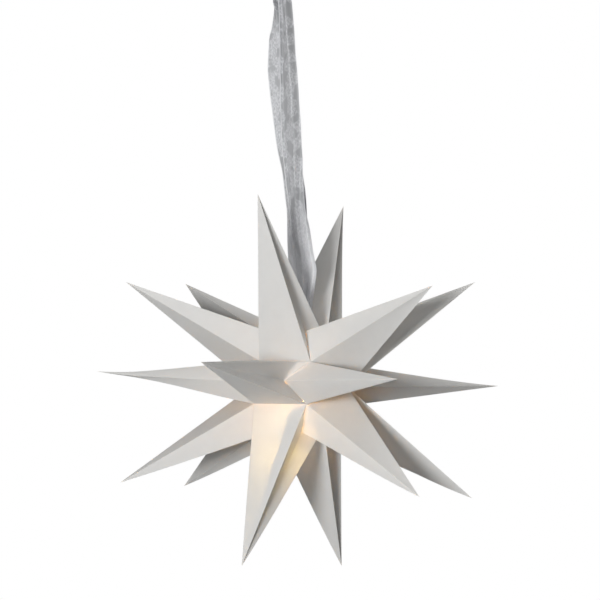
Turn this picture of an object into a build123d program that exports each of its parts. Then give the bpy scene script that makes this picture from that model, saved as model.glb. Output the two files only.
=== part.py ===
from build123d import *
import os
from math import atan2, cos, radians, sin, sqrt, tan

import numpy as np

# A hanging paper star with eighteen points, its ribbon and the small battery light inside it.
#
# The star's own axis is level and runs along X. Six cut and folded sheets stand round it, each with one
# middle point, which stands straight out from the axis, and one end point towards either end. A sheet
# meets its neighbours in the valleys between the points, where glue flanges turn inwards, and all six
# meet at the two poles. A middle point has six facets and an end point has four.
# The origin is the top of the ribbon's loop, where the star hangs. Lengths are in millimetres.

# Folded star, measured from its centre
sheet_count = 6
paper_thickness = 0.4
middle_reach = 300.0
end_reach = 292.0
end_latitude = 54.0
saddle_radius = 82.5
saddle_offset = 25.0
valley_radius = 61.0
valley_offset = 41.0
pole_offset = 77.0

# Glue flanges, closing strips and slit tabs of a sheet
flange_depth_share = 0.13
flange_run_share = 0.8
strip_width = 22.0
strip_run_share = 0.9
tab_depth = 11.0
tab_end_share = 0.14
slit_width = 1.1
slit_run_share = 0.96

# Slot for the ribbon in the top valley
slot_length = 44.0
slot_width = 6.0

# Ribbon, hung as a doubled loop, with a knot under the slot
ribbon_drop = 600.0
ribbon_lean = 48.0
ribbon_width = 40.0
ribbon_thickness = 0.5
ribbon_gap = 1.0
loop_width = 12.0
knot_length = 30.0
knot_depth = 18.0
knot_height = 16.0
lower_loop_drop = 10.0

# Battery light
cell_diameter = 10.5
cell_length = 44.5
cell_nub_diameter = 3.8
cell_nub_height = 1.2
cell_gap = 0.5
contact_room = 1.6
case_wall = 1.6
lug_thickness = 3.0
lug_bar_height = 3.0
lug_eye_height = 3.6
lug_eye_length = 18.0
lug_wall = 3.0
board_thickness = 1.6
lamp_diameter = 10.0
lamp_height = 5.0
cover_diameter = 38.0
cover_depth = 33.0
cover_wall = 1.5
cover_bevel = 8.0
cover_neck_length = 8.0
running_clearance = 0.2
seat_clearance = 0.3

half_sheet_angle = 180 / sheet_count
rim_count = 2 * sheet_count
overrun = slot_width

# Where each kind of corner lies: along the axis, and out from it
corner_places = {
    "middle_tip": (0, middle_reach),
    "end_tip": (end_reach * sin(radians(end_latitude)), end_reach * cos(radians(end_latitude))),
    "saddle": (saddle_offset, saddle_radius),
    "valley": (valley_offset, valley_radius),
    "pole": (pole_offset, 0),
}


def outward(step):
    """The direction out from the axis at a step round it; sheets stand on even steps, valleys on odd ones."""
    turn = radians(step * half_sheet_angle)
    return Vector(0, cos(turn), sin(turn))


def outer_corner(key):
    kind, side, step = key
    along, radius = corner_places[kind]
    return Vector(side * along, 0, 0) + outward(step) * radius


def fan(tip, base):
    """The facets of one point, from its tip to each edge of its base."""
    return [(tip, corner, after) for corner, after in zip(base, base[1:] + base[:1])]


def sheet_facets(step):
    """A sheet's facets as triples of corners, anticlockwise seen from outside."""
    before, after = (step - 1) % rim_count, (step + 1) % rim_count
    middle_base = [
        ("saddle", -1, step),
        ("valley", -1, after),
        ("valley", 1, after),
        ("saddle", 1, step),
        ("valley", 1, before),
        ("valley", -1, before),
    ]
    facets = fan(("middle_tip", 0, step), middle_base)
    for side in (1, -1):
        end_base = [("saddle", side, step), ("valley", side, after), ("pole", side, 0), ("valley", side, before)]
        facets += fan(("end_tip", side, step), end_base[::side])
    return facets


star_facets = [facet for step in range(0, rim_count, 2) for facet in sheet_facets(step)]


def facet_normal(facet):
    first, second, third = (outer_corner(key) for key in facet)
    return (second - first).cross(third - first).normalized()


def inner_corner(key):
    """The corner of the paper's inner face: one thickness behind every facet that meets there."""
    normals = [tuple(facet_normal(facet)) for facet in star_facets if key in facet]
    depths = [-paper_thickness] * len(normals)
    shift = np.linalg.lstsq(np.array(normals), np.array(depths), rcond=None)[0]
    return outer_corner(key) + Vector(*(float(value) for value in shift))


def polygon_face(points):
    return Face(Wire.make_polygon(points, close=True))


def plate(points, direction, thickness):
    """A flat piece of paper with the given corners, thickened in a direction square to it."""
    return extrude(polygon_face(points), amount=thickness, dir=direction)


def folded_paper(step):
    """The folded sheet itself: its outer facets, the same facets on the inside, and its two cut rims."""
    before, after = (step - 1) % rim_count, (step + 1) % rim_count
    faces = []
    for facet in sheet_facets(step):
        faces.append(polygon_face([outer_corner(key) for key in facet]))
        faces.append(polygon_face([inner_corner(key) for key in reversed(facet)]))
    for rim in (before, after):
        path = [("pole", -1, 0), ("valley", -1, rim), ("valley", 1, rim), ("pole", 1, 0)]
        for start, end in zip(path, path[1:]):
            corners = [outer_corner(start), outer_corner(end), inner_corner(end), inner_corner(start)]
            faces.append(polygon_face(corners))
    return Solid(Shell(faces))


def glue_flange(rim, towards):
    """The flange along a rim, turned inwards in the plane where two sheets meet."""
    tangent = Vector(1, 0, 0).cross(outward(rim))
    run = flange_run_share
    ends = [
        outer_corner(("valley", side, rim)) * (1 - run) + outer_corner(("pole", side, 0)) * run
        for side in (-1, 1)
    ]
    outer = [ends[0], outer_corner(("valley", -1, rim)), outer_corner(("valley", 1, rim)), ends[1]]
    inner = [point * (1 - flange_depth_share) for point in reversed(outer)]
    return plate(outer + inner, tangent * towards, paper_thickness)


def closing_strip(step, side):
    """The long glued strip inside a middle point, along the edge where its cut sides meet."""
    rim = (step - side) % rim_count
    tip = inner_corner(("middle_tip", 0, step))
    foot = inner_corner(("valley", side, rim))
    far_foot = inner_corner(("valley", -side, rim))
    across = (far_foot - foot).normalized() * strip_width
    top = foot + (tip - foot) * strip_run_share
    corners = [foot, foot + across, top + across * (1 - strip_run_share), top]
    facet = (("middle_tip", 0, step), ("valley", side, rim), ("valley", -side, rim))
    return plate(corners, facet_normal(facet) * -1, paper_thickness)


def slit_places(step, side):
    """The saddle and valley that a slit joins, the tip beyond it, and the end facet's outward direction."""
    rim = (step + side) % rim_count
    saddle, valley, tip = ("saddle", side, step), ("valley", side, rim), ("end_tip", side, step)
    return saddle, valley, tip, facet_normal((tip, saddle, valley))


def slit_tab(step, side):
    """The tab behind a slit, carried on from the middle point and glued under the end point's cut edge."""
    saddle, valley, tip, outside = slit_places(step, side)
    low, high, peak = inner_corner(saddle), inner_corner(valley), inner_corner(tip)
    edge = (high - low).normalized()
    inner_normal = (high - low).cross(peak - low).normalized()
    inwards = inner_normal if inner_normal.dot(outside) < 0 else inner_normal * -1
    rise = inwards.cross(edge).normalized()
    rise = rise if rise.dot(peak - low) > 0 else rise * -1
    taper = (high - low) * tab_end_share
    corners = [low + taper, high - taper, high - taper * 2 + rise * tab_depth, low + taper * 2 + rise * tab_depth]
    return plate(corners, inwards, paper_thickness)


def slit(step, side):
    """The narrow opening between the end point's cut edge and the fold beside it, widest at the saddle."""
    saddle, valley, tip, outside = slit_places(step, side)
    low, high, peak = outer_corner(saddle), outer_corner(valley), outer_corner(tip)
    start = low + (high - low) * (1 - slit_run_share)
    end = low + (high - low) * slit_run_share
    widest = start + (peak - low).normalized() * slit_width
    return plate([start, end, widest], outside * -1, paper_thickness)


def ribbon_slot():
    """The block of air cut out of the top valley and its flanges for the ribbon."""
    bottom = valley_radius * (1 - flange_depth_share) - overrun
    height = slot_edge_height + overrun - bottom
    air = Box(slot_length, slot_width, height, align=(Align.CENTER, Align.CENTER, Align.MIN))
    return Pos(0, 0, bottom) * air


def star_sheet(step):
    sheet = folded_paper(step)
    sheet += glue_flange((step - 1) % rim_count, 1)
    sheet += glue_flange((step + 1) % rim_count, -1)
    for side in (1, -1):
        sheet += closing_strip(step, side)
        sheet += slit_tab(step, side)
        sheet -= slit(step, side)
    top_step = sheet_count / 2
    if abs(step - top_step) == 1:
        sheet -= ribbon_slot()
    return sheet


# The top valley's sides rise steeply, so the slot's inner edge stands above the valley's own line
top_angle = radians(half_sheet_angle)
valley_lean = atan2(middle_reach * sin(top_angle), middle_reach * cos(top_angle) - valley_radius)
slot_edge_height = valley_radius + slot_width / 2 / tan(valley_lean) - paper_thickness / sin(valley_lean)

# The knot is pressed up against the slot's two edges
knot_bulge = knot_height / 2 * sqrt(1 - (slot_width / knot_depth) ** 2)
knot_centre_height = slot_edge_height - knot_bulge - seat_clearance

# The light's lug hangs in the ribbon's lower loop, under the knot
lug_top = knot_centre_height - knot_height / 2 - lower_loop_drop
eye_top = lug_top - lug_bar_height
case_top = eye_top - lug_eye_height
pitch_radius = (cell_diameter + cell_gap) / sqrt(3)
cavity_radius = pitch_radius + cell_diameter / 2 + cell_gap
case_radius = cavity_radius + case_wall
board_radius = cavity_radius + case_wall / 2
cavity_top = case_top - case_wall
board_top = cavity_top - contact_room - cell_length
case_bottom = board_top - board_thickness


def ribbon_side(thickness_in):
    """The ribbon's doubled strands seen along the axis, as a closed leaf drawn in by some thickness."""
    bottom, top = knot_centre_height + thickness_in, ribbon_drop - thickness_in
    shoulder = ribbon_drop - loop_width / 2
    strand = ribbon_gap / 2 + ribbon_thickness - thickness_in
    bulge = loop_width / 2 - thickness_in
    waist = (knot_centre_height + ribbon_drop) / 2
    side = Spline((strand, bottom), (strand, slot_edge_height), ((strand + bulge) / 2, waist), (bulge, shoulder))
    crown = ThreePointArc((bulge, shoulder), (0, top), (-bulge, shoulder))
    return make_face([side, crown, mirror(side, Plane.YZ), Line((-strand, bottom), (strand, bottom))])


def ribbon_front():
    """The hanging ribbon seen from the front: rows of height, lean and width, each a share of its own size."""
    station_shares = [
        (0.08, 0.0, 0.5),
        (0.18, 0.02, 0.85),
        (0.27, 0.0, 1.1),
        (0.4, 0.22, 0.95),
        (0.5, 0.41, 0.99),
        (0.63, 0.67, 1.13),
        (0.73, 0.86, 1.2),
        (0.82, 0.94, 1.13),
        (0.92, 0.97, 0.9),
        (1.0, 1.0, 0.6),
    ]
    left, right = [], []
    for height_share, lean_share, width_share in station_shares:
        centre, half = -ribbon_lean * lean_share, ribbon_width / 2 * width_share
        left.append((centre - half, ribbon_drop * height_share))
        right.append((centre + half, ribbon_drop * height_share))
    return make_face([Spline(left), Spline(right), Line(left[0], right[0]), Line(left[-1], right[-1])])


def lower_loop():
    """The short loop below the knot, round the lug's bar."""
    inner_width = lug_thickness + 2 * seat_clearance
    inner_bottom = eye_top - seat_clearance
    outer_width = inner_width + 2 * ribbon_thickness
    outer_bottom = inner_bottom - ribbon_thickness
    length = lug_eye_length - 2 * ribbon_gap
    outer_height = knot_centre_height - outer_bottom
    inner_height = lug_top + seat_clearance - inner_bottom
    outer = Box(length, outer_width, outer_height, align=(Align.CENTER, Align.CENTER, Align.MIN))
    inner = Box(lug_eye_length, inner_width, inner_height, align=(Align.CENTER, Align.CENTER, Align.MIN))
    return Pos(0, 0, outer_bottom) * outer - Pos(0, 0, inner_bottom) * inner


def hanging_ribbon():
    side_on = Plane.YZ * (ribbon_side(0) - ribbon_side(ribbon_thickness))
    front_on = Plane.XZ * ribbon_front()
    reach = ribbon_lean + ribbon_width * 2
    strands = extrude(side_on, amount=reach, both=True) & extrude(front_on, amount=loop_width, both=True)
    knot = Pos(0, 0, knot_centre_height) * scale(Sphere(1), by=(knot_length / 2, knot_depth / 2, knot_height / 2))
    return strands + knot + lower_loop()


def light_case():
    """The light's tube with its closed top, the step that seats the board, and the lug with its eye."""
    height = case_top - case_bottom
    tube = Pos(0, 0, case_bottom) * Cylinder(case_radius, height, align=(Align.CENTER, Align.CENTER, Align.MIN))
    cavity = Cylinder(cavity_radius, cavity_top - case_bottom, align=(Align.CENTER, Align.CENTER, Align.MIN))
    seat = Cylinder(board_radius + running_clearance, board_thickness, align=(Align.CENTER, Align.CENTER, Align.MIN))
    lug_length = lug_eye_length + 2 * lug_wall
    lug_height = lug_top - case_top
    lug = Box(lug_length, lug_thickness, lug_height + case_wall, align=(Align.CENTER, Align.CENTER, Align.MIN))
    eye = Box(lug_eye_length, 2 * lug_thickness, lug_eye_height, align=(Align.CENTER, Align.CENTER, Align.MIN))
    body = tube + Pos(0, 0, case_top - case_wall) * lug
    body -= Pos(0, 0, case_bottom) * cavity
    body -= Pos(0, 0, case_bottom) * seat
    return body - Pos(0, 0, case_top) * eye


def cell(index):
    """One battery cell, standing on the board beside the other two."""
    turn = radians(90 + 120 * index)
    body_length = cell_length - cell_nub_height
    body = Cylinder(cell_diameter / 2, body_length, align=(Align.CENTER, Align.CENTER, Align.MIN))
    nub = Cylinder(cell_nub_diameter / 2, cell_nub_height, align=(Align.CENTER, Align.CENTER, Align.MIN))
    place = Pos(pitch_radius * cos(turn), pitch_radius * sin(turn), board_top)
    return place * (body + Pos(0, 0, body_length) * nub)


def light_board():
    disc = Cylinder(board_radius, board_thickness, align=(Align.CENTER, Align.CENTER, Align.MAX))
    return Pos(0, 0, board_top) * disc


def turned(profile):
    """A solid turned round the light's own upright line, from a profile of (radius, height) corners."""
    outline = make_face(Polyline(*profile, close=True))
    return revolve(Plane.XZ * outline, Axis.Z)


def lamp():
    """The lamp under the board, with its bevelled lens."""
    radius, bevel = lamp_diameter / 2, lamp_height / 2
    profile = [(0, 0), (radius, 0), (radius, bevel - lamp_height), (radius - bevel, -lamp_height), (0, -lamp_height)]
    return Pos(0, 0, case_bottom) * turned(profile)


def light_cover():
    """The frosted cover, with a neck that slides over the case and a step that bears on its rim."""
    bore = case_radius + running_clearance
    neck = bore + cover_wall
    radius, bevel = cover_diameter / 2, cover_bevel
    inside, floor = radius - cover_wall, -cover_depth
    profile = [
        (bore, cover_neck_length),
        (neck, cover_neck_length),
        (neck, 0),
        (radius, neck - radius),
        (radius, floor + bevel),
        (radius - bevel, floor),
        (0, floor),
        (0, floor + cover_wall),
        (inside - bevel, floor + cover_wall),
        (inside, floor + cover_wall + bevel),
        (inside, neck - radius - cover_wall),
        (cavity_radius, cavity_radius - inside + neck - radius - cover_wall),
        (cavity_radius, 0),
        (bore, 0),
    ]
    return Pos(0, 0, case_bottom) * turned(profile)


parts = {f"star_sheet_{index + 1}": star_sheet(2 * index) for index in range(sheet_count)}
parts["hanging_ribbon"] = hanging_ribbon()
parts["light_case"] = light_case()
parts["light_board"] = light_board()
parts["light_lamp"] = lamp()
parts["light_cover"] = light_cover()
for index in range(3):
    parts[f"battery_cell_{index + 1}"] = cell(index)

# The star hangs below the origin, and the ribbon leans, so its loop is off to one side of the centre
star_centre = Pos(ribbon_lean, 0, -ribbon_drop)
os.makedirs("parts", exist_ok=True)
for name, part in parts.items():
    export_step(star_centre * part, f"parts/{name}.step")
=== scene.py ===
from math import cos, pi, radians, sin, tan

import bpy
import numpy as np
from mathutils import Matrix, Vector, noise


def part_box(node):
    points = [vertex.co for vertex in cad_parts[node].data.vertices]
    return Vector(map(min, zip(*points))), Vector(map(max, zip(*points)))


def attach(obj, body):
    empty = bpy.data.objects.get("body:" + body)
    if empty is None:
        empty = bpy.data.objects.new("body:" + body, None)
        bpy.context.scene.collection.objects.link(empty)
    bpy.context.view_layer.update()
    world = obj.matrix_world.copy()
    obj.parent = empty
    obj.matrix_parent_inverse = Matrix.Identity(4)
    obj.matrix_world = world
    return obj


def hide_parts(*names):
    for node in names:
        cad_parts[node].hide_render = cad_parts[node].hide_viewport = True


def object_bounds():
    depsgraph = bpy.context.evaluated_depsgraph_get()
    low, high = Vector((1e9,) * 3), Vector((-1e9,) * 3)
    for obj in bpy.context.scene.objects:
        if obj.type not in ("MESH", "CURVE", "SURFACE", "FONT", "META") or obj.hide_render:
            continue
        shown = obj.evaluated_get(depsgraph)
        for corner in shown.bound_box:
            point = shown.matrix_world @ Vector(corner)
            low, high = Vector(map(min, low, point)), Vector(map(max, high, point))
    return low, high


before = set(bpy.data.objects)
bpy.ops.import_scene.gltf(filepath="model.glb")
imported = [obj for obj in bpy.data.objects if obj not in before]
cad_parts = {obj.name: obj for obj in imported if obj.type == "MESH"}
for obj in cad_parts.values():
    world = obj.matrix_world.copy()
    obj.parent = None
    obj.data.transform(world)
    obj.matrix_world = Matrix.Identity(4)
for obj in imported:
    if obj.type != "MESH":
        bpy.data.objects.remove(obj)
cad_low, cad_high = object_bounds()

# Sizes repeated from the part, in metres and degrees
sheet_count = 6
paper_thickness = 0.0004
middle_reach = 0.3
end_reach = 0.292
end_latitude = 54.0
saddle_radius = 0.0825
saddle_offset = 0.025
valley_radius = 0.061
valley_offset = 0.041
pole_offset = 0.077
flange_depth_share = 0.13
flange_run_share = 0.8
strip_width = 0.022
strip_run_share = 0.9
tab_depth = 0.011
tab_end_share = 0.14
slot_length = 0.044
slot_width = 0.006

# Ribbon: its cut width, the thickness of the cloth, and half the depth of the turn at its loop's top
ribbon_width = 0.04
ribbon_cloth = 0.00016
loop_half_width = 0.0055

# Slits as they stand open, and how soon they and the ribbon's slot reach their full width
slit_width = 0.0018
slit_end_share = 0.05
slot_end_run = 0.003

# How far real card strays from flat facets: its depth where it closes at a tip, its curl and its waves
closed_tip_depth = 0.0007
curl_height = 0.0016
wave_height = 0.0005
wave_length = 0.07
wave_tip_share = 0.2
wave_base_share = 0.25

# Folds, and the bends that are rounded and not creased
fold_radius = 0.0005
soft_fold_reach = 0.004
soft_fold_lean = 1.4
ridge_round_share = 0.75
ridge_hold_share = 0.35
least_reach = 1e-6

# Card glued behind a facet, and how a strip is cut narrower at its foot
glue_gap = 0.00003
strip_foot_cut_share = 0.05
strip_foot_share = 0.2

# Cells on a facet, whose rows crowd towards the point's foot, and lines on glued card
facet_rows = 26
facet_columns = 10
row_crowding = 1.6
strip_lines = 5
tab_lines_along = 9
tab_lines_deep = 5

# How far from a point's foot the card, scored and bent there, lets more light through and is painted a
# little paler, a painted highlight
seam_reach = 0.007

# Shares of a point's length, from its tip, along which its folds are too fine to look round, and in which
# its inner face reaches its full depth
crisp_share = 0.35
tip_ease_share = 0.1

# Camera, in the photograph's own frame
photo_side = 600
camera_azimuth = radians(26.68)
camera_elevation = radians(-1.93)
camera_roll = radians(1.72)
camera_distance = 5.0
pixels_per_metre = 700.23
centre_pixel = (299.32, 383.95)
sensor_width = 36.0

half_sheet_angle = 180 / sheet_count
rim_count = 2 * sheet_count
top_rim = rim_count // 4
sheet_boxes = [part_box(f"star_sheet_{index + 1}") for index in range(sheet_count)]
star_low = np.min([low for low, high in sheet_boxes], axis=0)
star_high = np.max([high for low, high in sheet_boxes], axis=0)
star_centre = (star_low + star_high) / 2

# Where the photograph shows the corners of the folded paper, in its own pixels
corner_pixels = {
    ("middle_tip", 0, 4): (258, 194),
    ("middle_tip", 0, 2): (343.8, 206),
    ("middle_tip", 0, 6): (201, 362),
    ("middle_tip", 0, 8): (242, 566),
    ("middle_tip", 0, 10): (342, 566),
    ("end_tip", -1, 4): (126.3, 282),
    ("end_tip", -1, 2): (185.7, 283.8),
    ("end_tip", -1, 6): (97, 373.8),
    ("end_tip", -1, 8): (120.6, 482.5),
    ("end_tip", -1, 10): (184.5, 486),
    ("end_tip", 1, 6): (398, 379),
    ("end_tip", 1, 0): (498.7, 386),
    ("end_tip", 1, 4): (433.1, 285.4),
    ("end_tip", 1, 2): (475.7, 282),
    ("end_tip", 1, 8): (419.9, 497),
    ("end_tip", 1, 10): (472.5, 498.3),
    ("valley", -1, 5): (259.2, 360.4),
    ("valley", 1, 5): (310.7, 361.7),
    ("valley", -1, 7): (254.4, 403.8),
    ("valley", 1, 7): (306.9, 404.3),
    ("saddle", 1, 6): (284.2, 380.5),
    ("saddle", 1, 4): (305.3, 331.4),
    ("saddle", 1, 8): (302, 432),
    ("pole", 1, 0): (348, 387),
    ("pole", -1, 0): (253.1, 386.1),
}

# How much nearer to the camera the light on their facets puts some tips, in metres
tip_advances = {
    ("end_tip", -1, 8): -0.012,
    ("middle_tip", 0, 6): 0.012,
}

# How far the pictured corners lie to the right of where these pixels are counted from
pixel_slip = 0.35

# Dents in the long edges of middle points, by side and step: how far from the foot as a share of the edge,
# and how far back from the camera in pixels
edge_dents = {
    (1, 6): (0.135, 15.0),
    (1, 8): (0.155, -4.0),
}
dent_softness_share = 0.06

# Tips that curl up at the end, and long edges that bow, in pixels to the right and up
tip_curls = {("end_tip", -1, 6): (0, 2.5)}
tip_curl_share = 0.3
edge_bows = {
    (("end_tip", 1, 0), ("valley", 1, 1)): (-0.2, -1.2),
    (("end_tip", -1, 6), ("valley", -1, 7)): (0, 3.8),
    (("end_tip", -1, 6), ("valley", -1, 5)): (0, -1.2),
    (("end_tip", 1, 10), ("valley", 1, 9)): (-0.9, -1.9),
    (("middle_tip", 0, 8), ("valley", 1, 9)): (0.8, -0.5),
    (("end_tip", 1, 8), ("saddle", 1, 8)): (-0.4, -0.7),
    (("middle_tip", 0, 10), ("valley", -1, 9)): (-0.6, -0.3),
    (("middle_tip", 0, 2), ("valley", 1, 1)): (-0.7, 0),
    (("end_tip", -1, 10), ("saddle", -1, 10)): (0.35, -0.7),
    (("end_tip", -1, 8), ("saddle", -1, 8)): (0.2, -0.6),
}

# Makes the weight u (1 - u) ** 2 of a bow 1 at its highest
bow_peak = 27 / 4

# How hollow the card curls, as its turn at a facet's edges in degrees, for each sheet by its step
facet_turns = {0: 8, 2: 12, 4: 0, 6: 0, 8: 0, 10: 14}
trough_turns = {0: 13, 2: 20, 4: 18, 6: 3, 8: 8, 10: 16}
turn_spread_share = 0.5

# How quickly a facet's own curl and turn change with its place
curl_draw_scale = 40
turn_draw_scale = 31


def direction(azimuth, elevation):
    return np.array([sin(azimuth) * cos(elevation), -cos(azimuth) * cos(elevation), sin(elevation)])


# The camera's own directions, and its place
view_back = direction(camera_azimuth, camera_elevation)
level_right = np.array([cos(camera_azimuth), sin(camera_azimuth), 0.0])
level_up = np.cross(view_back, level_right)
view_right = level_right * cos(camera_roll) + level_up * sin(camera_roll)
view_up = np.cross(view_back, view_right)
middle_pixel = photo_side / 2
camera_target = (
    star_centre
    - view_right * (centre_pixel[0] - middle_pixel) / pixels_per_metre
    + view_up * (centre_pixel[1] - middle_pixel) / pixels_per_metre
)
camera_place = camera_target + view_back * camera_distance


def photo_place(point, pixel):
    """The point moved square to the camera's view until the photograph shows it at a pixel."""
    depth = np.dot(camera_place - point, view_back)
    scale = depth / camera_distance / pixels_per_metre
    across = (pixel[0] - pixel_slip - middle_pixel) * scale
    up = (middle_pixel - pixel[1]) * scale
    return camera_place + view_right * across + view_up * up - view_back * depth


def pixel_shift(pixels):
    """A shift of some pixels to the right and up, at the star's own distance."""
    return (view_right * pixels[0] + view_up * pixels[1]) / pixels_per_metre


# Where each kind of corner lies: along the star's axis, and out from it
corner_places = {
    "middle_tip": (0, middle_reach),
    "end_tip": (end_reach * sin(radians(end_latitude)), end_reach * cos(radians(end_latitude))),
    "saddle": (saddle_offset, saddle_radius),
    "valley": (valley_offset, valley_radius),
    "pole": (pole_offset, 0),
}


def outward(step):
    """The direction out from the axis at a step round it: sheets stand on even steps, valleys on odd."""
    turn = radians(step * half_sheet_angle)
    return np.array([0.0, cos(turn), sin(turn)])


def regular_corner(key):
    kind, side, step = key
    along, radius = corner_places[kind]
    return star_centre + np.array([side * along, 0.0, 0.0]) + outward(step) * radius


def outer_corner(key):
    """A corner of the card's outer face, where the photograph shows it or else where the folds put it."""
    place = regular_corner(key) + view_back * tip_advances.get(key, 0.0)
    return photo_place(place, corner_pixels[key]) if key in corner_pixels else place


def fan(tip, base):
    """The facets of one point, from its tip to each edge of its base."""
    return [(tip, corner, after) for corner, after in zip(base, base[1:] + base[:1])]


def sheet_facets(step):
    """A sheet's facets as triples of corners, anticlockwise seen from outside."""
    before, after = (step - 1) % rim_count, (step + 1) % rim_count
    middle_base = [("saddle", -1, step), ("valley", -1, after), ("valley", 1, after)]
    middle_base += [("saddle", 1, step), ("valley", 1, before), ("valley", -1, before)]
    end_kinds = [("saddle", step), ("valley", after), ("pole", 0), ("valley", before)]
    facets = fan(("middle_tip", 0, step), middle_base)
    for side in (1, -1):
        end_base = [(kind, side, place) for kind, place in end_kinds]
        facets += fan(("end_tip", side, step), end_base[::side])
    return facets


sheets = {step: sheet_facets(step) for step in range(0, rim_count, 2)}
star_facets = [facet for facets in sheets.values() for facet in facets]


def unit(vector):
    return vector / np.linalg.norm(vector)


def facet_normal(facet):
    first, second, third = (outer_corner(key) for key in facet)
    return unit(np.cross(second - first, third - first))


facet_normals = {facet: facet_normal(facet) for facet in star_facets}


def inner_corner(key):
    """The inner face's corner: a thickness behind each facet that meets there, and more at a tip."""
    normals = np.array([normal for facet, normal in facet_normals.items() if key in facet])
    inward = np.linalg.lstsq(normals, -np.ones(len(normals)), rcond=None)[0]
    depth = paper_thickness
    if key[0] in ("middle_tip", "end_tip"):
        depth = closed_tip_depth / -np.max(normals @ inward)
    return outer_corner(key) + inward * depth


corner_keys = sorted({key for facet in star_facets for key in facet})
outer_corners = {key: outer_corner(key) for key in corner_keys}
inner_corners = {key: inner_corner(key) for key in corner_keys}


def base_run(facet):
    """How long a facet's edge is at the point's foot."""
    return np.linalg.norm(outer_corners[facet[1]] - outer_corners[facet[2]])


def point_run(facet):
    """How far a facet's tip is from the middle of its edge at the foot."""
    return np.linalg.norm(outer_corners[facet[0]] - (outer_corners[facet[1]] + outer_corners[facet[2]]) / 2)


def share_from(corner, facet, v):
    """How far across a facet a place lies, from one of the corners at its foot."""
    return v if facet[1] == corner else 1 - v


def smooth(value):
    """A smooth step from 0 to 1."""
    held = np.clip(value, 0.0, 1.0)
    return held * held * (3 - 2 * held)


def neighbour(facet, edge):
    """The other facet of the same sheet that has an edge."""
    sheet = next(facets for facets in sheets.values() if facet in facets)
    return next(other for other in sheet if other != facet and set(edge) <= set(other))


def saddle_and_valley(facet):
    """The saddle and valley of a facet's base edge, if the edge joins such a pair."""
    kinds = {key[0]: key for key in facet[1:]}
    return (kinds["saddle"], kinds["valley"]) if len(kinds) == 2 and "saddle" in kinds else None


def side_pair(facet):
    """The saddle and valley under a facet that is part of a middle point's side."""
    return saddle_and_valley(facet) if facet[0][0] == "middle_tip" else None


def is_slit(saddle, valley):
    """Whether the edge from a saddle to a valley is one that is cut open."""
    return valley[2] == (saddle[2] + saddle[1]) % rim_count


def drawn_from(corners, scale):
    """A number from -1 to 1 that some corners' places give."""
    return noise.noise(Vector(sum(regular_corner(key) for key in corners) * scale))


def drawn_turn(turns, corners):
    """A sheet's turn in radians, a little more or less by the place of the corners."""
    return radians(turns[corners[0][2]] * (1 + turn_spread_share * drawn_from(corners, turn_draw_scale)))


def bend(facet, edge):
    """The mean direction, half angle and sign of a facet's bend to its neighbour over an edge."""
    other = neighbour(facet, edge)
    mean = unit(facet_normals[facet] + facet_normals[other])
    half_angle = np.arccos(np.clip(np.dot(mean, facet_normals[facet]), -1, 1))
    far_corner = next(key for key in other if key not in edge)
    opens = np.dot(outer_corners[far_corner] - outer_corners[edge[0]], facet_normals[facet]) > 0
    return mean, half_angle, 1.0 if opens else -1.0


def soft_base(facet, u, v):
    """Fills the bend between a middle point's foot and an end point's, where the card turns softly."""
    pair = saddle_and_valley(facet)
    if pair is None or is_slit(*pair):
        return 0.0
    mean, half_angle, sign = bend(facet, pair)
    from_saddle = share_from(pair[0], facet, v)
    reach = soft_fold_reach * np.sin(pi * from_saddle**soft_fold_lean) + least_reach
    distance = (1 - u) * point_run(facet)
    weight = np.clip(1 - distance / reach, 0, 1) ** 2
    return (weight * reach * tan(half_angle) / 2 * sign)[..., None] * mean


def ridge_hold(u):
    """How freely the card curves: not at all at a point's foot, and fully some way from it."""
    return smooth((1 - u) / ridge_hold_share)


def soft_side(facet, u, v):
    """Curls a middle point's side hollow and rounds the line between its two facets."""
    pair = side_pair(facet)
    if pair is None:
        return 0.0
    edge = (facet[0], pair[0])
    mean, half_angle, sign = bend(facet, edge)
    width, other_width = base_run(facet), base_run(neighbour(facet, edge))
    from_ridge = share_from(pair[0], facet, v)
    reach = min(width, other_width) * ridge_round_share * u + least_reach
    rounding = np.clip(1 - from_ridge * u * width / reach, 0, 1) ** 2 * reach * tan(half_angle) / 2 * sign
    depth = (width + other_width) / 4 * tan(drawn_turn(trough_turns, edge))
    return (ridge_hold(u) * (rounding - u * (1 - from_ridge**2) * depth))[..., None] * mean


def hollow(facet, u, v):
    """How deep the card lies under a facet that curls hollow, like a cone from the tip."""
    if side_pair(facet) is not None:
        return 0.0
    return ridge_hold(u) * u * v * (1 - v) * base_run(facet) * tan(drawn_turn(facet_turns, facet))


def edge_bow(facet, u, v):
    """The shift of the card beside long edges that bow."""
    shift = 0.0
    for foot, share in ((facet[1], 1 - v), (facet[2], v)):
        if (facet[0], foot) in edge_bows:
            weight = bow_peak * u * (1 - u) ** 2 * share
            shift = shift + weight[..., None] * pixel_shift(edge_bows[(facet[0], foot)])
    return shift


def edge_dent(facet, u, v):
    """The shift of the card where a long edge over a strip is pushed in near its foot."""
    shift = 0.0
    for (side, step), (foot_share, pixels) in edge_dents.items():
        foot = ("valley", side, (step - side) % rim_count)
        if facet[0] != ("middle_tip", 0, step) or foot not in facet:
            continue
        towards_foot = v if facet[2] == foot else 1 - v
        from_tip = u * towards_foot / (1 - foot_share)
        from_foot = (1 - u) / foot_share
        gap = np.abs(from_tip - from_foot)
        ease = np.clip(dent_softness_share - gap, 0, None) ** 2 / (4 * dent_softness_share)
        weight = np.minimum(from_tip, from_foot) - ease
        shift = shift - weight[..., None] * view_back * pixels / pixels_per_metre
    return shift


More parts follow.
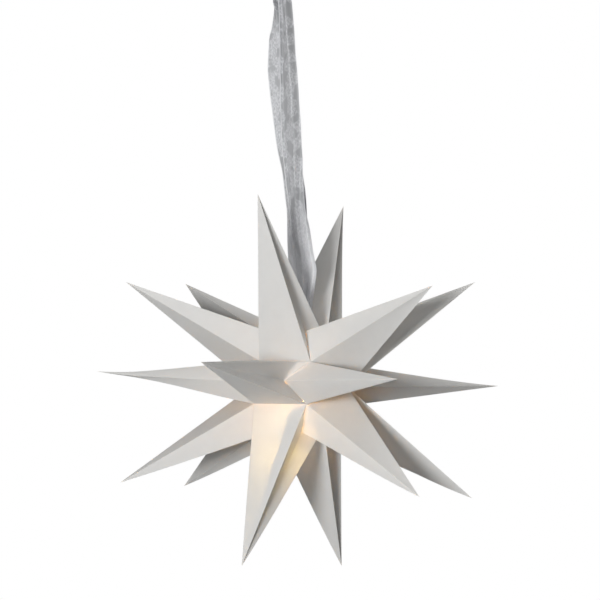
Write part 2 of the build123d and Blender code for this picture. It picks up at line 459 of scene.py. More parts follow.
def facet_points(facet, u, v, depth=0.0):
    """Places on a facet: u runs from tip to base, v across, and depth in thicknesses into the card."""
    places = []
    for corners in (outer_corners, inner_corners):
        tip, first, second = (corners[key] for key in facet)
        base = first + (second - first) * v[..., None]
        places.append(tip + (base - tip) * u[..., None])
    flat = places[0] + (places[1] - places[0]) * depth
    tip, first = facet[:2]
    inner_lead = np.linalg.norm(inner_corners[tip] - outer_corners[tip])
    lead_share = inner_lead / np.linalg.norm(outer_corners[first] - outer_corners[tip])
    u = u + (1 - u) * depth * lead_share * smooth(u / tip_ease_share)
    fade = smooth(u / wave_tip_share) * smooth((1 - u) / wave_base_share) * 4 * v * (1 - v)
    waves = np.array([noise.noise(Vector(place) / wave_length) for place in places[0].reshape(-1, 3)])
    curl = curl_height * drawn_from(facet, curl_draw_scale)
    height = fade * (curl + wave_height * waves.reshape(u.shape)) - hollow(facet, u, v)
    shift = height[..., None] * facet_normals[facet]
    for part in (soft_base, soft_side, edge_dent, edge_bow):
        shift = shift + part(facet, u, v)
    if facet[0] in tip_curls:
        weight = np.clip(1 - u / tip_curl_share, 0, 1) ** 2
        shift = shift + weight[..., None] * pixel_shift(tip_curls[facet[0]])
    return flat + shift


def add_object(name, data):
    """A new object with its data, put into the scene."""
    item = bpy.data.objects.new(name, data)
    bpy.context.scene.collection.objects.link(item)
    return item


def grid_cells(grid):
    """The four corners of each cell of a grid."""
    return [
        (upper[c], lower[c], lower[c + 1], upper[c + 1])
        for upper, lower in zip(grid, grid[1:])
        for c in range(len(upper) - 1)
    ]


class PaperMesh:
    """A mesh of card, gathered as vertices, faces, sharp edges and how near each vertex is to a fold."""

    def __init__(self):
        self.places = []
        self.faces = []
        self.sharp = set()
        self.folds = []
        self.keys = {}

    def vertex(self, place, fold=0.0, key=None):
        index = self.keys.get(key, len(self.places))
        if index == len(self.places):
            self.places.append(tuple(place))
            self.folds.append(fold)
            if key is not None:
                self.keys[key] = index
        return index

    def face(self, *corners):
        distinct = tuple(dict.fromkeys(corners))
        if len(distinct) > 2:
            self.faces.append(distinct)

    def close(self, skin, twin):
        """Adds an outer skin, the inner skin of its twin vertices, and the cut edge between the two."""
        for face in skin:
            self.face(*face)
            self.face(*(twin[index] for index in reversed(face)))
        sides = dict.fromkeys(side for face in skin for side in zip(face, face[1:] + face[:1]))
        for start, end in sides:
            if (end, start) not in sides:
                self.face(end, start, twin[start], twin[end])
                self.sharp.update(((start, end), (twin[start], twin[end])))

    def slab(self, upper, lower, fold=0.0):
        """A closed plate between two grids of places."""
        top = [[self.vertex(place, fold) for place in row] for row in upper]
        under = [[self.vertex(place, fold) for place in row] for row in lower]
        self.close(grid_cells(top), dict(zip(sum(top, []), sum(under, []))))

    def build(self, name, material):
        mesh = bpy.data.meshes.new(name)
        mesh.from_pydata(self.places, [], self.faces)
        mesh.validate()
        wanted = {tuple(sorted(edge)) for edge in self.sharp}
        for edge in mesh.edges:
            edge.use_edge_sharp = tuple(sorted(edge.vertices)) in wanted
        mesh.polygons.foreach_set("use_smooth", [True] * len(mesh.polygons))
        layer = mesh.attributes.new("fold", "FLOAT", "POINT")
        layer.data.foreach_set("value", self.folds)
        mesh.materials.append(material)
        mesh.update()
        return add_object(name, mesh)


def row_shares():
    """Rows from tip to base, close together near the base."""
    return 1 - (1 - np.linspace(0, 1, facet_rows + 1)) ** row_crowding


def column_shares(base_length):
    """Columns across a facet, with a narrow one along each fold."""
    fold = fold_radius / base_length
    return np.concatenate([[0.0, fold], np.linspace(0, 1, facet_columns + 1)[1:-1], [1 - fold, 1.0]])


def slit_gap(from_saddle):
    """How far the cut edge stands back from the fold beside it: widest near the saddle."""
    return slit_width * smooth(from_saddle / slit_end_share) * (1 - from_saddle)


def slot_lift(facet, v):
    """How far a facet's base edge stands back from the top valley, where the ribbon goes in."""
    if {facet[1][0], facet[2][0]} != {"valley"} or facet[1][2] != top_rim or facet[0][0] != "middle_tip":
        return np.zeros_like(v)
    along = np.abs(v - 0.5) * base_run(facet)
    full_lift = slot_width / 2 / sin(radians(half_sheet_angle))
    return full_lift * smooth((slot_length / 2 - along) / slot_end_run)


def is_soft_edge(facet, at_first):
    """Whether a facet's long edge is the rounded line from a middle point's tip to its saddle."""
    corner = facet[1] if at_first else facet[2]
    return facet[0][0] == "middle_tip" and corner[0] == "saddle"


def shared_key(facet, base_pair, r, c, last_row, last_column):
    """A name for a vertex that other facets share, on a corner, a long edge or a base that isn't cut."""
    if r == 0:
        return ("corner", facet[0])
    if c in (0, last_column):
        foot = facet[1] if c == 0 else facet[2]
        return ("corner", foot) if r == last_row else ("edge", facet[0], foot, r)
    if r == last_row and base_pair is not None:
        return ("base", *base_pair, c if facet[1] == base_pair[0] else last_column - c)
    return None


def add_facet(paper, twin_places, facet):
    """Adds a facet's outer vertices, notes the inner place of each, and gives its faces."""
    point_length = point_run(facet)
    u, v = np.meshgrid(row_shares(), column_shares(base_run(facet)), indexing="ij")
    base_pair = saddle_and_valley(facet)
    stand_back = slot_lift(facet, v)
    if base_pair is not None and is_slit(*base_pair) and facet[0][0] == "end_tip":
        stand_back = slit_gap(share_from(base_pair[0], facet, v))
        base_pair = None
    u = np.minimum(u, 1 - stand_back / point_length)
    outside, inside = facet_points(facet, u, v), facet_points(facet, u, v, 1.0)
    near_seam = np.clip(1 - (1 - u) * point_length / seam_reach, 0, 1) ** 2
    rows, columns = u.shape
    grid = []
    for r in range(rows):
        line = []
        for c in range(columns):
            key = shared_key(facet, base_pair, r, c, rows - 1, columns - 1)
            on_fold = r in (0, rows - 1) or (c in (0, columns - 1) and not is_soft_edge(facet, c == 0))
            # Vertices on folds and near the seam get the paler colour, a painted highlight, and let more
            # light through
            index = paper.vertex(outside[r, c], max(float(on_fold), near_seam[r, c]), key)
            twin_places.setdefault(index, inside[r, c])
            line.append(index)
        grid.append(line)
    for upper, lower, share in zip(grid, grid[1:], u[1:, 0]):
        if share < crisp_share:
            paper.sharp.update(((upper[0], lower[0]), (upper[-1], lower[-1])))
    faces = [tuple(dict.fromkeys(corners)) for corners in grid_cells(grid)]
    return [face for face in faces if len(face) > 2]


def facet_over(step, tip_kind, first, second):
    """A sheet's facet from a tip of some kind to the edge between two corners."""
    return next(f for f in sheets[step] if f[0][0] == tip_kind and {first, second} == set(f[1:]))


def card_behind(facet, u, v):
    """The two faces of card that is glued behind a facet."""
    gap = glue_gap / paper_thickness
    return facet_points(facet, u, v, 1 + gap), facet_points(facet, u, v, 2 + gap)


def add_strip(paper, step, side):
    """The long glued strip inside a middle point, along the edge where its cut sides meet."""
    rim = (step - side) % rim_count
    near, far = ("valley", side, rim), ("valley", -side, rim)
    facet = facet_over(step, "middle_tip", near, far)
    width_share = strip_width / base_run(facet)
    runs = np.linspace(1 - strip_run_share, 1, facet_rows)
    share, run = np.meshgrid(np.linspace(0, 1, strip_lines), runs, indexing="xy")
    u = run - strip_foot_cut_share * share * smooth((run - (1 - strip_foot_share)) / strip_foot_share)
    v = share_from(near, facet, share * width_share)
    upper, lower = card_behind(facet, u, v)
    if facet[1] != near:
        upper, lower = upper[:, ::-1], lower[:, ::-1]
    paper.slab(upper, lower)


def add_tab(paper, step, side):
    """The tab behind a slit, carried on from the middle point and glued under the end point."""
    rim = (step + side) % rim_count
    saddle, valley = ("saddle", side, step), ("valley", side, rim)
    facet = facet_over(step, "end_tip", saddle, valley)
    depth_share = tab_depth / np.linalg.norm(outer_corners[facet[0]] - outer_corners[saddle])
    lines_along, lines_deep = np.linspace(0, 1, tab_lines_along), np.linspace(0, 1, tab_lines_deep)
    share, run = np.meshgrid(lines_along, lines_deep, indexing="xy")
    end = tab_end_share * (2 - run)
    upper, lower = card_behind(facet, 1 - depth_share * (1 - run), end + share * (1 - 2 * end))
    # The whole tab counts as fold: it lets more light through and is painted paler, a painted highlight
    # seen in the slit
    paper.slab(upper, lower, 1.0)


def add_flange(paper, rim, towards):
    """The flange along a rim, turned inwards where two sheets meet, with the ribbon's slot."""
    valleys = [outer_corners[("valley", side, rim)] for side in (-1, 1)]
    poles = [outer_corners[("pole", side, 0)] for side in (-1, 1)]
    ends = [valley + (pole - valley) * flange_run_share for valley, pole in zip(valleys, poles)]
    path = [ends[0], valleys[0], valleys[1], ends[1]]
    tangent = unit(np.cross(np.array([1.0, 0.0, 0.0]), outward(rim))) * towards
    runs = [path]
    if rim == top_rim:
        middle = (valleys[0] + valleys[1]) / 2
        along = unit(valleys[1] - valleys[0]) * slot_length / 2
        runs = [path[:2] + [middle - along], [middle + along] + path[2:]]
    for places in runs:
        outer = np.array(places) - outward(rim) * paper_thickness
        inner = star_centre + (outer - star_centre) * (1 - flange_depth_share)
        upper = np.stack([outer, inner])
        paper.slab(upper, upper + tangent * paper_thickness)


def sheet_piece(index, material):
    """One folded sheet of the star, with its flanges, strips and tabs."""
    step = 2 * index
    paper = PaperMesh()
    twin_places = {}
    skin = []
    for facet in sheets[step]:
        skin += add_facet(paper, twin_places, facet)
    twin = {outer: paper.vertex(place, paper.folds[outer]) for outer, place in twin_places.items()}
    paper.close(skin, twin)
    add_flange(paper, (step - 1) % rim_count, 1)
    add_flange(paper, (step + 1) % rim_count, -1)
    for side in (1, -1):
        add_strip(paper, step, side)
        add_tab(paper, step, side)
    piece = paper.build(f"folded_sheet_{index + 1}", material)
    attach(piece, "root")
    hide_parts(f"star_sheet_{index + 1}")


class Nodes:
    """The nodes of a material or a world, added and linked in short calls."""

    def __init__(self, owner):
        owner.use_nodes = True
        self.tree = owner.node_tree
        self.tree.nodes.clear()

    def add(self, kind, **values):
        node = self.tree.nodes.new(kind)
        for name, value in values.items():
            setattr(node, name, value)
        return node

    def feed(self, target, value):
        """Gives a node's socket another socket's value, a plain number or a plain colour."""
        if isinstance(value, float):
            target.default_value = value
        elif isinstance(value, tuple):
            target.default_value = (*value, 1)
        elif value is not None:
            self.tree.links.new(value, target)

    def worked(self, operation, first, second=0.0):
        """The result of a sum of two values."""
        node = self.add("ShaderNodeMath", operation=operation)
        self.feed(node.inputs[0], first)
        self.feed(node.inputs[1], second)
        return node.outputs[0]

    def blended(self, share, first, second):
        """Two surfaces or backgrounds, with the second one's share."""
        mix = self.add("ShaderNodeMixShader")
        self.feed(mix.inputs[0], share)
        self.feed(mix.inputs[1], first)
        self.feed(mix.inputs[2], second)
        return mix.outputs[0]


class Shader(Nodes):
    """A material, with its textures and surfaces."""

    def __init__(self, name):
        self.material = bpy.data.materials.new(name)
        super().__init__(self.material)
        self.place = self.add("ShaderNodeTexCoord").outputs["Object"]

    def noise(self, scale=1.0, detail=2.0, roughness=0.5, stretch=None, place=None):
        """Noise over the object's own space or another, drawn out along some axes."""
        node = self.add("ShaderNodeTexNoise")
        node.inputs["Scale"].default_value = scale
        node.inputs["Detail"].default_value = detail
        node.inputs["Roughness"].default_value = roughness
        source = self.place if place is None else place
        if stretch is not None:
            mapping = self.add("ShaderNodeMapping")
            mapping.inputs["Scale"].default_value = stretch
            self.feed(mapping.inputs["Vector"], source)
            source = mapping.outputs["Vector"]
        self.feed(node.inputs["Vector"], source)
        return node.outputs["Fac"]

    def part_of(self, vector, axis):
        """One number of a vector, by its place in it."""
        split = self.add("ShaderNodeSeparateXYZ")
        self.feed(split.inputs[0], vector)
        return split.outputs[axis]

    def shades(self, factor, dark, light, low=0.3, high=0.7):
        """A colour between two, by a factor."""
        ramp = self.add("ShaderNodeValToRGB")
        for element, position, colour in zip(ramp.color_ramp.elements, (low, high), (dark, light)):
            element.position = position
            element.color = (*colour, 1)
        self.feed(ramp.inputs["Fac"], factor)
        return ramp.outputs["Color"]

    def mixed(self, factor, first, second):
        """The second colour laid over the first by a factor."""
        mix = self.add("ShaderNodeMix", data_type="RGBA")
        self.feed(mix.inputs[0], factor)
        self.feed(mix.inputs[6], first)
        self.feed(mix.inputs[7], second)
        return mix.outputs[2]

    def bump(self, height, strength, distance):
        node = self.add("ShaderNodeBump")
        self.feed(node.inputs["Strength"], strength)
        self.feed(node.inputs["Distance"], distance)
        self.feed(node.inputs["Height"], height)
        return node.outputs["Normal"]

    def principled(self, colour, normal=None, **values):
        node = self.add("ShaderNodeBsdfPrincipled")
        self.feed(node.inputs["Base Color"], colour)
        self.feed(node.inputs["Normal"], normal)
        for name, value in values.items():
            self.feed(node.inputs[name.replace("_", " ")], value)
        return node.outputs[0]

    def through(self, solid, colour, share, normal):
        """The solid shader mixed with light that comes through from behind."""
        glow = self.add("ShaderNodeBsdfTranslucent")
        self.feed(glow.inputs["Color"], colour)
        self.feed(glow.inputs["Normal"], normal)
        return self.blended(share, solid, glow.outputs[0])

    def finish(self, surface):
        self.feed(self.add("ShaderNodeOutputMaterial").inputs["Surface"], surface)
        return self.material


white = (1.0, 1.0, 1.0)
black = (0.0, 0.0, 0.0)
paper_colour = (0.85, 0.85, 0.842)
paper_colour_low = (0.825, 0.825, 0.817)
# Paler colour along folds, seams and tabs: partly wear, partly a painted highlight where card edges catch
# light
paper_wear_and_highlight = (0.93, 0.93, 0.92)
paper_glow = (0.66, 0.62, 0.52)
paper_glow_scored = (1.0, 0.82, 0.55)
paper_glow_share = 0.2
crease_sharpness = 8.0


def paper_material():
    """Matt uncoated card: fine felt marks, a faint cloudiness, folds painted paler, partly as wear and
    partly as a painted highlight where folds and slit edges catch light, and light let through.
    """
    shader = Shader("star_card")
    clouds = shader.noise(scale=60, detail=4, roughness=0.6)
    colour = shader.shades(clouds, paper_colour_low, paper_colour)
    fold = shader.add("ShaderNodeAttribute", attribute_name="fold").outputs["Fac"]
    # Painted highlight: folds, seams and tabs are painted paler, partly wear and partly the light that
    # catches them
    wear_and_highlight = shader.mixed(shader.worked("POWER", fold, crease_sharpness), colour, paper_wear_and_highlight)
    glow = shader.mixed(fold, paper_glow, paper_glow_scored)
    fibres = shader.noise(scale=900, detail=6, roughness=0.65)
    felt = shader.bump(fibres, strength=0.25, distance=0.00012)
    solid = shader.principled(wear_and_highlight, felt, Roughness=0.8, IOR=1.45, Specular_IOR_Level=0.2)
    return shader.finish(shader.through(solid, glow, paper_glow_share, felt))


# Edges of the ribbon as the photograph shows them, in its pixels: how far down, then the left and right
# edge of the front strand and of the back strand; the rows above the picture close the loop
ribbon_rows = [
    (347.5, 292.8, 305.4, 292.8, 305.4),
    (335, 292, 305.8, 292, 305.8),
    (309, 301, 312.5, 296, 310),
    (290, 298.5, 315.3, 293, 312),
    (270, 295.5, 317.7, 288, 312),
    (250, 293.8, 313.8, 286.8, 309),
    (210, 291, 308, 285.8, 305),
    (170, 286.6, 304.5, 280.8, 302),
    (150, 284.4, 303.2, 276.6, 301),
    (130, 283, 302.4, 273.7, 299.6),
    (90, 282.2, 299.7, 268.9, 296.4),
    (68, 282, 297.9, 266.6, 294),
    (33, 281.6, 295.4, 267.8, 291.5),
    (27, 281.5, 295.1, 269.9, 291.2),
    (10, 281.2, 293.6, 271.7, 287),
    (5, 281.1, 293.1, 271.9, 281),
    (-1, 280.9, 292.7, 271.5, 275.5),
    (-7, 280, 292, 271, 276.5),
    (-16, 277, 291, 271, 285),
    (-26, 273, 290, 272, 289),
]

ribbon_cells_along = 150
ribbon_cells_across = 44
crown_rows = 14
eased_rows = 7

# The loop's strands draw together over this height, under the turn at its top
closing_run = 0.03

# Pleats: how the cloth gathers where the photograph shows it narrower than it is
gather_depth_limit = 0.008
gather_tries = 24
gather_samples = 200
pleat_lean_share = 0.6
pleat_depth_share = 0.9
pleat_stand_share = 0.55
low_pleats = 2.1
lost_pleats = 0.9

# How the pleats wander and the cloth ripples: their size, how quickly they change, and a strand's own draw
wander_turn = 0.7
wander_change = 6
wander_draw = 3.1
ripple_height = 0.0016
ripple_change = 26
ripple_change_across = 2.2
ripple_draw = 7.7

# How far a strand stands from the middle, low down and more higher up, and how much the slot holds it back
strand_depth = 0.0012
strand_parting = 0.0025
slot_hold_share = 0.6

# Heights above the star's centre where the pleats get fewer, the strands part and the slot's hold ends,
# each with the run that it takes
pleat_rise = (0.2, 0.15)
parting_rise = (0.1, 0.25)
slot_rise = (0.075, 0.05)


def pleat(angle):
    """A pleat's wave, leaning so that its long face is the one that the camera sees."""
    return np.sin(angle + pleat_lean_share * np.sin(angle))


def pleat_height(width, pleats):
    """How high even pleats stand when the ribbon's cloth is gathered to some width."""
    low, high = 0.0, gather_depth_limit
    across = np.linspace(0, 1, gather_samples)
    for attempt in range(gather_tries):
        middle = (low + high) / 2
        depth = middle * pleat(2 * pi * pleats * across)
        length = np.hypot(np.diff(across) * width, np.diff(depth)).sum()
        low, high = (middle, high) if length < ribbon_width else (low, middle)
    return (low + high) / 2


def level_place(pixel):
    """A pixel's place along the star's axis and up from its centre, in the ribbon's upright plane."""
    ways = np.array([[view_right[0], view_right[2]], [view_up[0], view_up[2]]])
    across = pixel[0] - pixel_slip - centre_pixel[0]
    return np.linalg.solve(ways, np.array([across, centre_pixel[1] - pixel[1]]) / pixels_per_metre)


def eased_edge(edge, run, along):
    """An edge's places at even steps along the strand, with its corners rounded off."""
    ease = np.hanning(eased_rows) / np.hanning(eased_rows).sum()
    places = [np.pad(np.interp(along, run, edge[:, axis]), eased_rows // 2, "edge") for axis in (0, 1)]
    return np.stack([np.convolve(place, ease, "valid") for place in places], axis=-1)


def risen(height, start, run):
    """0 up to a height above the star's centre, and 1 from a run above it."""
    return smooth((height - start) / run)


def strand_depths(which, width, height, spread):
    """How far one row of a strand stands out from the ribbon's upright plane."""
    pleats = low_pleats - lost_pleats * risen(height, *pleat_rise)
    depth = pleat_height(width, pleats)
    wander = wander_turn * noise.noise(Vector((0.0, which * wander_draw, height * wander_change)))
    wave = pleat(2 * pi * pleats * spread + wander + which * pi)
    ripples = [
        noise.noise(Vector((share * ripple_change_across, which * ripple_draw, height * ripple_change)))
        for share in spread
    ]
    opening = strand_depth + strand_parting * risen(height, *parting_rise)
    stand = (2 * which - 1) * (opening + depth * pleat_stand_share)
    depths = stand + depth * wave * pleat_depth_share + ripple_height * np.array(ripples)
    return depths * (1 - (1 - risen(height, *slot_rise)) * slot_hold_share)


def strand_rows(which):
    """A strand's places from bottom to top, gathered into pleats where it is narrower than its cloth."""
    table = np.array(ribbon_rows)
    edges = [np.array([level_place((row[1 + 2 * which + end], row[0])) for row in table]) for end in (0, 1)]
    spread = np.linspace(0, 1, ribbon_cells_across + 1)
    along = np.linspace(0, 1, ribbon_cells_along)
    run = (table[0, 0] - table[:, 0]) / (table[0, 0] - table[-1, 0])
    rows = []
    for start, end in zip(*(eased_edge(edge, run, along) for edge in edges)):
        depths = strand_depths(which, end[0] - start[0], (start[1] + end[1]) / 2, spread)
        across, up = (start[axis] + (end[axis] - start[axis]) * spread for axis in (0, 1))
        rows.append(np.stack([across, depths, up], axis=-1))
    return np.array(rows)


def ribbon_places():
    """The ribbon's whole path: up the front strand, over the loop's top and down the back strand."""
    front, back = strand_rows(0), strand_rows(1)
    crown_top = cad_high.z - star_centre[2] - ribbon_cloth
    close_start = front[-1, 0, 2] - closing_run
    for strand, side in ((front, -1), (back, 1)):
        ease = smooth((strand[:, :, 2] - close_start) / closing_run)
        strand[:, :, 1] = strand[:, :, 1] * (1 - ease) + side * loop_half_width * ease
    turn_rows = []
    front_end, back_end = front[-1], back[-1]
    for share in np.linspace(0, 1, crown_rows + 2)[1:-1]:
        angle = pi * share
        row = front_end * (1 - share) + back_end * share
        row[:, 1] = -cos(angle) * loop_half_width
        row[:, 2] = front_end[:, 2] + sin(angle) * (crown_top - front_end[:, 2])
        turn_rows.append(row)
    return np.concatenate([front, np.array(turn_rows), back[::-1]]) + star_centre


def thicken(piece):
    """Gives a cloth piece its thickness."""
    solid = piece.modifiers.new("cloth", "SOLIDIFY")
    solid.thickness = ribbon_cloth
    solid.offset = 0.0
    graph = bpy.context.evaluated_depsgraph_get()
    mesh = bpy.data.meshes.new_from_object(piece.evaluated_get(graph))
    piece.modifiers.clear()
    piece.data = mesh


def grid_piece(name, places, material):
    """A cloth piece over a grid of places, with its weave's directions, and its cloth's length."""
    rows, columns = places.shape[:2]
    grid = np.arange(rows * columns).reshape(rows, columns).tolist()
    faces = [(first, last, third, second) for first, second, third, last in grid_cells(grid)]
    mesh = bpy.data.meshes.new(name)
    mesh.from_pydata([tuple(place) for place in places.reshape(-1, 3)], [], faces)
    steps = np.linalg.norm(np.diff(places[:, columns // 2], axis=0), axis=1)
    along = np.concatenate([[0.0], np.cumsum(steps)])
    across = np.linspace(0, ribbon_width, columns)
    weave = mesh.uv_layers.new(name="weave")
    for loop in mesh.loops:
        r, c = divmod(loop.vertex_index, columns)
        weave.data[loop.index].uv = (across[c], along[r])
    mesh.polygons.foreach_set("use_smooth", [True] * len(mesh.polygons))
    mesh.materials.append(material)
    piece = add_object(name, mesh)
    thicken(piece)
    return piece, along[-1]


ribbon_grey = (0.6, 0.607, 0.622)
ribbon_patch = (0.56, 0.567, 0.58)
ribbon_pale = (0.88, 0.885, 0.9)
# Paler colour painted on the ribbon's lower part: painted light against the shade of its pleats there
ribbon_painted_light = (0.95, 0.955, 0.97)
painted_light_share = 0.65

# Heights below the loop's top where the ribbon's paler colour comes in and where it is full: painted light
# that brightens its lower part against the shade of its pleats
painted_light_heights = (-0.33, -0.42)
ribbon_glow_share = 0.35
selvage_width = 0.0009


def ribbon_material():
    """Sheer organza: a fine weave, mottled where its layers part and plain where they lie close, and
    painted paler low down, painted light that offsets the shade of its lower pleats.
    """
    shader = Shader("silver_organza")
    weave = shader.add("ShaderNodeUVMap", uv_map="weave").outputs["UV"]
    warp = shader.noise(stretch=(2400, 90, 1), place=weave)
    weft = shader.noise(stretch=(120, 2400, 1), place=weave)
    mottle = shader.noise(detail=5, stretch=(520, 260, 1), place=weave)
    close_layers = shader.noise(stretch=(60, 40, 1), place=weave)
    fine = shader.shades(mottle, ribbon_grey, ribbon_pale, low=0.38, high=0.7)
    patch = shader.shades(close_layers, black, white, low=0.5, high=0.56)
    colour = shader.mixed(patch, fine, ribbon_patch)
    # Painted light: the ribbon is painted paler towards its bottom, to lighten the shade of its pleats
    # there
    gathered = shader.add("ShaderNodeMapRange")
    shader.feed(gathered.inputs["Value"], shader.part_of(shader.place, 2))
    shader.feed(gathered.inputs["From Min"], painted_light_heights[0])
    shader.feed(gathered.inputs["From Max"], painted_light_heights[1])
    painted_light_weight = shader.worked("MULTIPLY", gathered.outputs[0], painted_light_share)
    colour = shader.mixed(painted_light_weight, colour, ribbon_painted_light)
    across = shader.worked("SUBTRACT", shader.part_of(weave, 0), ribbon_width / 2)
    from_middle = shader.worked("ABSOLUTE", across)
    selvage = shader.worked("GREATER_THAN", from_middle, ribbon_width / 2 - selvage_width)
    colour = shader.mixed(selvage, colour, ribbon_pale)
    normal = shader.bump(shader.worked("ADD", warp, weft), strength=0.5, distance=0.0001)
    solid = shader.principled(colour, normal, Roughness=0.55, Sheen_Weight=0.3, Sheen_Roughness=0.4)
    return shader.finish(shader.through(solid, colour, ribbon_glow_share, normal))


# The knot's half sizes along, across and up, its height above the star's centre, and its shallow folds
knot_radii = (0.0145, 0.0085, 0.0076)
knot_height = 0.0565
knot_cells_around = 72
knot_cells_along = 32
knot_folds = 9
knot_twist = 2.0
knot_fold_share = 0.05

# The lower loop: its half sizes, how it closes in under the knot, and its clearance round the lug's bar
lower_half_width = 0.0075
lower_half_depth = 0.0024
lower_neck_half_depth = 0.001
lower_cells_across = 12
lug_bar_height = 0.003
lug_clearance = 0.0005
lower_shoulder = 0.002
lower_corner = 0.001


def knot_places():
    """The knot under the slot: turns of gathered ribbon, drawn tight."""
    turns = np.linspace(0, 2 * pi, knot_cells_around + 1)
    around, along = np.meshgrid(turns, np.linspace(0, pi, knot_cells_along + 1), indexing="xy")
    waves = (1 + np.sin(around * knot_folds + knot_twist * np.cos(along * 2))) / 2
    out = np.sin(along) * (1 - knot_fold_share * waves * np.sin(along))
    shape = np.stack([np.cos(along), out * np.cos(around), out * np.sin(around)], axis=-1)
    return star_centre + np.array([0.0, 0.0, knot_height]) + shape * np.array(knot_radii)


def lower_loop_places():
    """The short loop under the knot, round the lug's bar, as a band seen along the star's axis."""
    lug_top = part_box("light_case")[1].z
    bottom = lug_top - lug_bar_height - lug_clearance
    side = [
        (lower_neck_half_depth, star_centre[2] + knot_height),
        (lower_half_depth, lug_top + lower_shoulder),
        (lower_half_depth, bottom + lower_corner),
    ]
    path = [(-y, z) for y, z in side] + [(0.0, bottom)] + side[::-1]
    across = np.linspace(-lower_half_width, lower_half_width, lower_cells_across + 1)
    return np.array([[(star_centre[0] + x, star_centre[1] + y, z) for x in across] for y, z in path])


case_dark = (0.78, 0.78, 0.76)
case_light = (0.84, 0.84, 0.82)
board_dark = (0.72, 0.75, 0.71)
board_light = (0.8, 0.82, 0.78)
sleeve_dark = (0.06, 0.065, 0.07)
sleeve_light = (0.1, 0.105, 0.11)
cloudy_share = 0.97


def case_material():
    """Moulded white plastic with a fine grain."""
    shader = Shader("case_white")
    colour = shader.shades(shader.noise(scale=90, detail=3), case_dark, case_light)
    grain = shader.bump(shader.noise(scale=1400, detail=3), strength=0.2, distance=0.00008)
    return shader.finish(shader.principled(colour, grain, Roughness=0.45))


def glowing_material(name, colour, strength):
    """A lit, frosted surface, a little cloudy."""
    shader = Shader(name)
    cloudy = tuple(cloudy_share * part for part in colour)
    tint = shader.shades(shader.noise(scale=120), cloudy, colour)
    surface = shader.principled(tint, Roughness=0.5, Emission_Strength=strength, Emission_Color=colour)
    return shader.finish(surface)


def cell_material():
    """A battery cell's plain dark sleeve, with fine scratches along it."""
    shader = Shader("cell_sleeve")
    scratches = shader.noise(scale=500, detail=3, stretch=(1, 1, 0.05))
    colour = shader.shades(scratches, sleeve_dark, sleeve_light)
    return shader.finish(shader.principled(colour, Roughness=0.35, Metallic=0.6))


def board_material():
    """White circuit board with a faint glass-cloth grain."""
    shader = Shader("board_white")
    cloth = shader.noise(scale=1800, detail=1)
    colour = shader.shades(cloth, board_dark, board_light)
    grain = shader.bump(cloth, strength=0.2, distance=0.00005)
    return shader.finish(shader.principled(colour, grain, Roughness=0.4))


cell_count = 3
lamp_colour = (1.0, 0.54, 0.16)
cover_strength = 68.0
lamp_strength = 20.0


def dress_light():
    """Gives the battery light's own pieces their finishes."""
    finishes = {
        "light_case": case_material(),
        "light_board": board_material(),
        "light_lamp": glowing_material("lamp_lit", lamp_colour, lamp_strength),
        "light_cover": glowing_material("cover_lit", lamp_colour, cover_strength),
    }
    sleeve = cell_material()
    for index in range(cell_count):
        finishes[f"battery_cell_{index + 1}"] = sleeve
    for node, material in finishes.items():
        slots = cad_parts[node].data.materials
        slots.clear()
        slots.append(material)


# The lamp's light as the card inside scatters it: places by step and reach from the star's centre, and
# shifts along its axis and back from them
glow_lights = {
    "near": dict(step=8, reach=0.05, along=0.0, back=0.004, power=0.65, colour=(1.0, 0.9, 0.68)),
    "low": dict(step=8, reach=0.1, along=0.008, back=0.01, power=1.05, colour=(1.0, 0.76, 0.32)),
}
glow_radius = 0.01
glow_angle = radians(170)
glow_blend_share = 0.6
glow_lean = 0.3


def place_lamp(data, place, aim):
    """Puts a lamp in its place, turned to shine along its aim."""
    lamp = add_object(data.name, data)
    lamp.location = place
    lamp.rotation_mode = "QUATERNION"
    lamp.rotation_quaternion = aim.to_track_quat("-Z", "Y")


def add_glow(name, step, reach, along, back, power, colour):
    """Light inside the star, thrown outwards through its lower front points."""
    lamp = bpy.data.lights.new(f"lamp_glow_{name}", "SPOT")
    lamp.energy = power
    lamp.color = colour
    lamp.shadow_soft_size = glow_radius
    lamp.spot_size = glow_angle
    lamp.spot_blend = glow_blend_share
    shift = np.array([along, 0.0, 0.0]) + outward(step + top_rim) * back
    aim = Vector(outward(step)) + Vector((glow_lean, 0, 0))
    place_lamp(lamp, Vector(star_centre + outward(step) * reach + shift), aim)


def add_camera():
    """The camera that sees the star as the photograph does."""
    data = bpy.data.cameras.new("photo_camera")
    data.sensor_width = sensor_width
    data.lens = sensor_width * camera_distance * pixels_per_metre / photo_side
    camera = add_object("photo_camera", data)
    axes = np.eye(4)
    axes[:3, 0], axes[:3, 1], axes[:3, 2], axes[:3, 3] = view_right, view_up, view_back, camera_place
    camera.matrix_world = Matrix(axes.tolist())
    bpy.context.scene.camera = camera


# Studio lamps, all soft discs, with their azimuth from the camera's own and their elevation in degrees
studio_lamps = {
    "key": dict(azimuth=-18, elevation=0, size=0.45, power=34.0),
    "upper_key": dict(azimuth=-8, elevation=20, size=0.4, power=1.8),
    "top_fill": dict(azimuth=0, elevation=78, size=1.0, power=9.5),
    "right_fill": dict(azimuth=60, elevation=48, size=1.0, power=3.6),
    "left_fill": dict(azimuth=-70, elevation=30, size=1.0, power=1.3),
    "rear_fill": dict(azimuth=180, elevation=55, size=1.0, power=7.0),
}
studio_distance = 2.2


def add_lamp(name, azimuth, elevation, size, power):
    """A soft round lamp that is turned towards the star."""
    data = bpy.data.lights.new(name, "AREA")
    data.shape = "DISK"
    data.size = size
    data.energy = power
    back = Vector(direction(camera_azimuth + radians(azimuth), radians(elevation)))
    place_lamp(data, Vector(star_centre) + back * studio_distance, -back)


ambient_strength = 0.03
shown_strength = 1.0


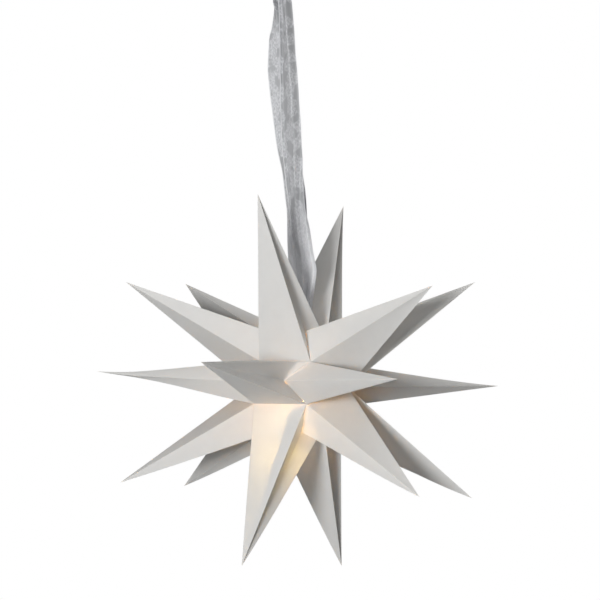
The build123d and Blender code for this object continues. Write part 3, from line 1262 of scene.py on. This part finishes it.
def add_world():
    """White where it is seen, also in reflections and through clear things, and faint as a light."""
    world = bpy.data.worlds.new("studio")
    bpy.context.scene.world = world
    nodes = Nodes(world)
    rays = nodes.add("ShaderNodeLightPath").outputs
    seen = nodes.worked("MAXIMUM", rays["Is Camera Ray"], rays["Is Glossy Ray"])
    shown = nodes.worked("MAXIMUM", seen, rays["Is Transmission Ray"])
    backgrounds = []
    for strength in (ambient_strength, shown_strength):
        background = nodes.add("ShaderNodeBackground")
        nodes.feed(background.inputs["Color"], white)
        nodes.feed(background.inputs["Strength"], strength)
        backgrounds.append(background.outputs[0])
    output = nodes.add("ShaderNodeOutputWorld")
    nodes.feed(output.inputs["Surface"], nodes.blended(shown, *backgrounds))


floor_half_side = 3.0
floor_drop = 1.0
floor_dark = (0.8, 0.8, 0.8)
floor_light = (0.84, 0.84, 0.84)


def add_floor():
    """A plain pale floor below the star, out of the photograph's own view."""
    height = cad_low.z - floor_drop
    signs = [(-1, -1), (1, -1), (1, 1), (-1, 1)]
    corners = [(x * floor_half_side, y * floor_half_side, height) for x, y in signs]
    mesh = bpy.data.meshes.new("floor")
    mesh.from_pydata(corners, [], [(0, 1, 2, 3)])
    shader = Shader("floor_pale")
    colour = shader.shades(shader.noise(scale=3), floor_dark, floor_light)
    mesh.materials.append(shader.finish(shader.principled(colour, Roughness=0.8)))
    add_object("floor", mesh)


def build_ribbon():
    """The hanging loop, the knot and the lower loop, which are one ribbon."""
    organza = ribbon_material()
    loop, loop_length = grid_piece("ribbon_loop", ribbon_places(), organza)
    knot = grid_piece("ribbon_knot", knot_places(), organza)[0]
    lower = grid_piece("ribbon_lower_loop", lower_loop_places(), organza)[0]
    for piece in (loop, knot, lower):
        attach(piece, "root")
        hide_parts("hanging_ribbon")


star_card = paper_material()
for sheet_index in range(sheet_count):
    sheet_piece(sheet_index, star_card)
build_ribbon()
dress_light()
for glow_name, glow_settings in glow_lights.items():
    add_glow(glow_name, **glow_settings)
add_floor()
add_world()
for lamp_name, lamp_settings in studio_lamps.items():
    add_lamp(lamp_name, **lamp_settings)
add_camera()
bpy.context.scene.view_settings.view_transform = "Standard"
